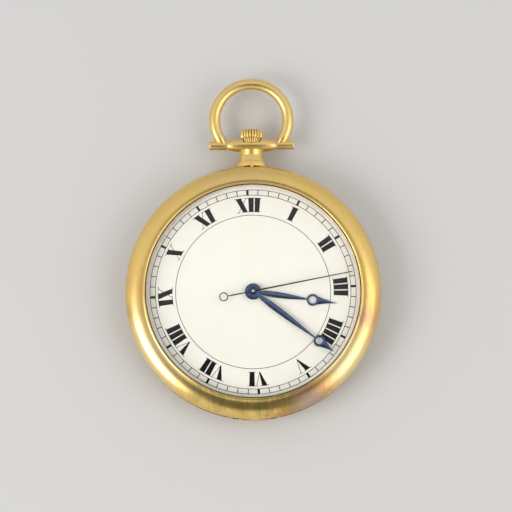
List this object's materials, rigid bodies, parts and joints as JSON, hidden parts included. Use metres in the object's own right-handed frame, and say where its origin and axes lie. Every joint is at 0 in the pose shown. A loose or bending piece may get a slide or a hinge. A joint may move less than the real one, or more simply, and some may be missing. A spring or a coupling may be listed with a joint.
{
  "type": "pocket watch",
  "caption": "Round open face pocket watch, wound at the crown, with a plain bow, domed glass, hinged back and dust cover, and a lever movement",
  "frame": {"origin": "centre of the flat on the outside of the back cover, which the watch lies on", "axes": "+Z out through the dial and glass, +Y to the pendant and bow, +X to three o'clock"},
  "size_m": [0.047, 0.0638, 0.0083],
  "materials": {
    "gold_case": "polished, lightly worn",
    "gold_inner": "satin",
    "glass": "clear",
    "dial_face": "silvered, satin",
    "blued_steel": "blued, polished",
    "dark_steel": "blued nearly black",
    "steel": "polished",
    "spring_steel": "polished",
    "gilt_brass": "matt gilt",
    "nickel_plate": "frosted",
    "ruby": "clear red, polished"
  },
  "bodies": {
    "back_cover": {"back_cover": "gold_case", "back_hinge_pin": "steel"},
    "case": {"case_middle": "gold_case", "pendant": "gold_case", "bow_pins": "steel", "bezel": "gold_case", "crystal": "glass", "cuvette_hinge_pin": "steel", "dial": "dial_face", "main_plate": "nickel_plate", "barrel_bridge": "nickel_plate", "train_bridge": "nickel_plate", "balance_cock": "nickel_plate", "pallet_bridge": "nickel_plate", "click_spring": "spring_steel", "yoke_spring": "spring_steel", "setting_lever_screw": "blued_steel", "crown_wheel_screw": "blued_steel", "hairspring": "blued_steel", "regulator": "steel", "jewels": "ruby", "bridge_screws": "blued_steel", "case_screws": "blued_steel", "dial_screws": "steel"},
    "cuvette": {"cuvette": "gold_inner"},
    "bow": {"bow": "gold_case"},
    "winding_pinion": {"winding_pinion": "steel"},
    "crown": {"crown": "gold_case", "winding_stem": "steel"},
    "clutch": {"sliding_clutch": "steel"},
    "setting_lever": {"setting_lever": "steel"},
    "yoke": {"yoke": "steel"},
    "crown_wheel": {"crown_wheel": "steel"},
    "ratchet": {"ratchet_wheel": "steel", "ratchet_screw": "blued_steel", "barrel_arbor": "steel"},
    "click": {"click": "steel"},
    "minute_hand": {"minute_hand": "blued_steel", "cannon_pinion": "steel", "centre_wheel": "gilt_brass"},
    "hour_hand": {"hour_hand": "blued_steel", "hour_wheel": "gilt_brass"},
    "minute_wheel": {"minute_wheel": "gilt_brass"},
    "setting_wheel": {"setting_wheel": "gilt_brass"},
    "barrel": {"barrel_drum": "gilt_brass", "barrel_cover": "gilt_brass", "mainspring": "spring_steel"},
    "third_wheel": {"third_wheel": "gilt_brass", "seconds_driving_wheel": "gilt_brass"},
    "fourth_wheel": {"fourth_wheel": "gilt_brass"},
    "seconds_hand": {"seconds_hand": "dark_steel", "seconds_pinion": "steel"},
    "escape_wheel": {"escape_wheel": "steel"},
    "pallets": {"pallet_fork": "steel", "pallet_stones": "ruby"},
    "balance": {"balance_wheel": "gilt_brass", "balance_staff": "steel", "impulse_jewel": "ruby"}
  },
  "joints": [
    {"name": "back_hinge", "type": "hinge", "parent": "back_cover", "child": "case", "pos_m": [0, -0.02295, 0.00252], "axis": [1, 0, 0], "range_deg": [0, 95]},
    {"name": "cuvette_hinge", "type": "hinge", "parent": "case", "child": "cuvette", "pos_m": [0, -0.02075, 0.00172], "axis": [-1, 0, 0], "range_deg": [0, 57.1]},
    {"name": "bow_swing", "type": "hinge", "parent": "case", "child": "bow", "pos_m": [0, 0.0277, 0.00375], "axis": [1, 0, 0], "range_deg": [-125, 125]},
    {"name": "crown_spin", "type": "hinge", "parent": "case", "child": "winding_pinion", "pos_m": [0, 0.016, 0.00375], "axis": [0, 1, 0], "continuous": true},
    {"name": "crown_pull", "type": "slide", "parent": "winding_pinion", "child": "crown", "axis": [0, 1, 0], "range_m": [0, 0.0008]},
    {"name": "clutch_slide", "type": "slide", "parent": "winding_pinion", "child": "clutch", "axis": [0, -1, 0], "range_m": [0, 0.0005]},
    {"name": "setting_lever_turn", "type": "hinge", "parent": "case", "child": "setting_lever", "pos_m": [0.0028, 0.0173, 0.00515], "axis": [0, 0, -1], "range_deg": [0, 16.4]},
    {"name": "yoke_turn", "type": "hinge", "parent": "case", "child": "yoke", "pos_m": [-0.0042, 0.0136, 0.00515], "axis": [0, 0, -1], "range_deg": [0, 6.9]},
    {"name": "crown_wheel_spin", "type": "hinge", "parent": "case", "child": "crown_wheel", "pos_m": [0.0004, 0.01213, 0.0016], "axis": [0, 0, 1], "continuous": true},
    {"name": "ratchet_spin", "type": "hinge", "parent": "case", "child": "ratchet", "pos_m": [0.00686, 0.00463, 0.0016], "axis": [0, 0, 1], "continuous": true},
    {"name": "click_turn", "type": "hinge", "parent": "case", "child": "click", "pos_m": [0.01508, 0.00347, 0.0016], "axis": [0, 0, 1], "range_deg": [0, 5], "stiffness_Nm_per_rad": 0.000001, "springref_deg": -28.65},
    {"name": "minute_spin", "type": "hinge", "parent": "case", "child": "minute_hand", "pos_m": [0, 0, 0.005], "axis": [0, 0, 1], "continuous": true},
    {"name": "hour_spin", "type": "hinge", "parent": "case", "child": "hour_hand", "pos_m": [0, 0, 0.005], "axis": [0, 0, 1], "continuous": true},
    {"name": "minute_wheel_spin", "type": "hinge", "parent": "case", "child": "minute_wheel", "pos_m": [-0.00067, 0.00378, 0.0051], "axis": [0, 0, 1], "continuous": true},
    {"name": "setting_wheel_spin", "type": "hinge", "parent": "case", "child": "setting_wheel", "pos_m": [0, 0.00918, 0.0051], "axis": [0, 0, 1], "continuous": true},
    {"name": "barrel_spin", "type": "hinge", "parent": "case", "child": "barrel", "pos_m": [0.00686, 0.00463, 0.0036], "axis": [0, 0, 1], "continuous": true},
    {"name": "third_wheel_spin", "type": "hinge", "parent": "case", "child": "third_wheel", "pos_m": [-0.00585, 0.00337, 0.0034], "axis": [0, 0, 1], "continuous": true},
    {"name": "fourth_wheel_spin", "type": "hinge", "parent": "case", "child": "fourth_wheel", "pos_m": [-0.01037, 0.00021, 0.004], "axis": [0, 0, 1], "continuous": true},
    {"name": "seconds_spin", "type": "hinge", "parent": "case", "child": "seconds_hand", "pos_m": [0, 0, 0.0016], "axis": [0, 0, 1], "continuous": true},
    {"name": "escape_wheel_spin", "type": "hinge", "parent": "case", "child": "escape_wheel", "pos_m": [-0.00995, -0.00462, 0.0034], "axis": [0, 0, 1], "continuous": true},
    {"name": "balance_swing", "type": "hinge", "parent": "case", "child": "balance", "pos_m": [-0.00356, -0.00977, 0.0023], "axis": [0, 0, 1], "range_deg": [-25, 25]},
    {"name": "pallet_swing", "type": "hinge", "parent": "case", "child": "pallets", "pos_m": [-0.00765, -0.00647, 0.0034], "axis": [0, 0, 1], "range_deg": [-5.2, 5.2]}
  ],
  "couplings": [
    {"joint": "cuvette_hinge", "follows": "back_hinge", "ratio": 0.6},
    {"joint": "clutch_slide", "follows": "crown_pull", "ratio": 0.625},
    {"joint": "setting_lever_turn", "follows": "crown_pull", "rad_per_m": 357},
    {"joint": "yoke_turn", "follows": "crown_pull", "rad_per_m": 149},
    {"joint": "crown_wheel_spin", "follows": "crown_spin", "ratio": -0.38889},
    {"joint": "ratchet_spin", "follows": "crown_spin", "ratio": 0.25926},
    {"joint": "hour_spin", "follows": "minute_spin", "ratio": 0.083333},
    {"joint": "minute_wheel_spin", "follows": "minute_spin", "ratio": -0.33333},
    {"joint": "setting_wheel_spin", "follows": "minute_spin", "ratio": 0.375},
    {"joint": "barrel_spin", "follows": "minute_spin", "ratio": -0.15},
    {"joint": "third_wheel_spin", "follows": "minute_spin", "ratio": -8},
    {"joint": "fourth_wheel_spin", "follows": "minute_spin", "ratio": 60},
    {"joint": "seconds_spin", "follows": "minute_spin", "ratio": 60},
    {"joint": "escape_wheel_spin", "follows": "minute_spin", "ratio": -600},
    {"joint": "pallet_swing", "follows": "balance_swing", "ratio": -0.2063}
  ]
}
